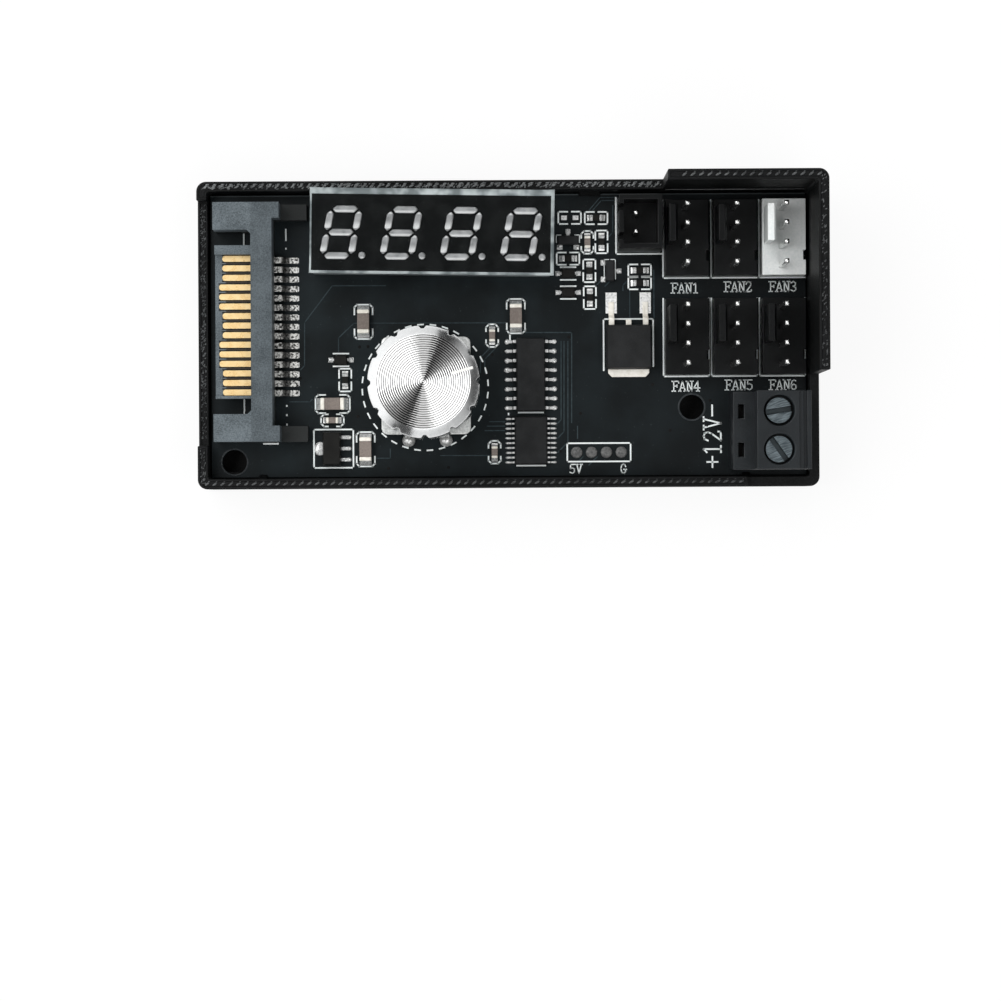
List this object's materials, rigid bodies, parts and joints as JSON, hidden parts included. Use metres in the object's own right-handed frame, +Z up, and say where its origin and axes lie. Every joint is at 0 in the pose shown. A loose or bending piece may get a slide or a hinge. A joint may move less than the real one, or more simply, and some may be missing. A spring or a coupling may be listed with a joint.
{
  "type": "fan speed controller",
  "caption": "Open printed tray with a control board: power inlet, digit display, push-and-turn knob, fan headers, shrouded header and screw terminal.",
  "frame": {"origin": "centre of the tray's flat underside", "axes": "+X from the power inlet to the fan headers, +Y to the display, +Z up"},
  "size_m": [0.083, 0.041, 0.0265],
  "materials": {
    "printed_black": "printed in layers, satin",
    "board_mask": "black solder mask, satin",
    "moulded_black": "moulded, fine satin",
    "white_plastic": "moulded, satin",
    "gold_contact": "gold flash, polished",
    "display_shell": "black face, satin",
    "segment_resin": "milky resin",
    "clear_film": "clear, glossy",
    "tinned_metal": "bright tin plate",
    "solder": "bright solder",
    "cast_zinc": "as cast",
    "stamped_steel": "nickel plate, satin",
    "knob_aluminium": "turned in fine rings, bright",
    "screw_steel": "zinc plate",
    "brass_cage": "plain",
    "package_epoxy": "moulded epoxy, matt",
    "capacitor_ceramic": "fired ceramic, satin"
  },
  "bodies": {
    "base": {"case_tray": "printed_black", "circuit_board": "board_mask", "wire_pads": "solder", "sata_housing": "moulded_black", "sata_contacts": "gold_contact", "display_body": "display_shell", "display_segments": "segment_resin", "display_pins": "tinned_metal", "display_film": "clear_film", "encoder_base": "moulded_black", "encoder_bushing": "cast_zinc", "encoder_bracket": "stamped_steel", "encoder_pins": "tinned_metal", "encoder_solder": "solder", "encoder_detent_spring": "stamped_steel", "switch_dome": "stamped_steel", "aux_header": "moulded_black", "aux_header_pins": "tinned_metal", "terminal_housing": "moulded_black", "terminal_contacts": "tinned_metal", "driver_chip_body": "package_epoxy", "driver_chip_leads": "tinned_metal", "controller_chip_body": "package_epoxy", "controller_chip_leads": "tinned_metal", "mosfet_body": "package_epoxy", "mosfet_leadframe": "tinned_metal", "regulator_body": "package_epoxy", "regulator_leadframe": "tinned_metal", "transistor_bodies": "package_epoxy", "transistor_leads": "tinned_metal", "diode_bodies": "package_epoxy", "diode_leads": "tinned_metal", "large_capacitor_bodies": "capacitor_ceramic", "large_capacitor_ends": "solder", "small_capacitor_bodies": "capacitor_ceramic", "small_capacitor_ends": "solder", "resistor_bodies": "package_epoxy", "resistor_ends": "solder", "fan_header_1": "moulded_black", "fan_pins_1": "tinned_metal", "fan_header_2": "moulded_black", "fan_pins_2": "tinned_metal", "fan_header_3": "white_plastic", "fan_pins_3": "tinned_metal", "fan_header_4": "moulded_black", "fan_pins_4": "tinned_metal", "fan_header_5": "moulded_black", "fan_pins_5": "tinned_metal", "fan_header_6": "moulded_black", "fan_pins_6": "tinned_metal"},
    "switch": {"switch_plunger": "white_plastic"},
    "knob_and_shaft": {"knob": "knob_aluminium", "encoder_shaft": "knob_aluminium"},
    "rotor": {"encoder_rotor": "moulded_black"},
    "screw_1": {"terminal_screw_1": "screw_steel"},
    "screw_2": {"terminal_screw_2": "screw_steel"},
    "cage_1": {"terminal_cage_1": "brass_cage"},
    "cage_2": {"terminal_cage_2": "brass_cage"}
  },
  "joints": [
    {"name": "knob_press", "type": "slide", "parent": "base", "child": "switch", "axis": [0, 0, -1], "range_m": [0, 0.0005], "stiffness_N_per_m": 4000, "springref_m": -0.0003, "deforming": ["switch_dome"]},
    {"name": "knob_turn", "type": "hinge", "parent": "switch", "child": "knob_and_shaft", "pos_m": [-0.01094, -0.00696, 0], "axis": [0, 0, 1], "continuous": true},
    {"name": "rotor_turn", "type": "hinge", "parent": "base", "child": "rotor", "pos_m": [-0.01094, -0.00696, 0], "axis": [0, 0, 1], "continuous": true},
    {"name": "screw_1_turn", "type": "hinge", "parent": "base", "child": "screw_1", "pos_m": [0.0354, -0.01057, 0], "axis": [0, 0, -1], "range_deg": [0, 1440]},
    {"name": "cage_1_rise", "type": "slide", "parent": "base", "child": "cage_1", "axis": [0, 0, 1], "range_m": [0, 0.002]},
    {"name": "screw_2_turn", "type": "hinge", "parent": "base", "child": "screw_2", "pos_m": [0.0354, -0.01565, 0], "axis": [0, 0, -1], "range_deg": [0, 1440]},
    {"name": "cage_2_rise", "type": "slide", "parent": "base", "child": "cage_2", "axis": [0, 0, 1], "range_m": [0, 0.002]}
  ],
  "couplings": [
    {"joint": "rotor_turn", "follows": "knob_turn", "ratio": 1},
    {"joint": "screw_1_turn", "follows": "cage_1_rise", "rad_per_m": 12565},
    {"joint": "screw_2_turn", "follows": "cage_2_rise", "rad_per_m": 12565}
  ]
}
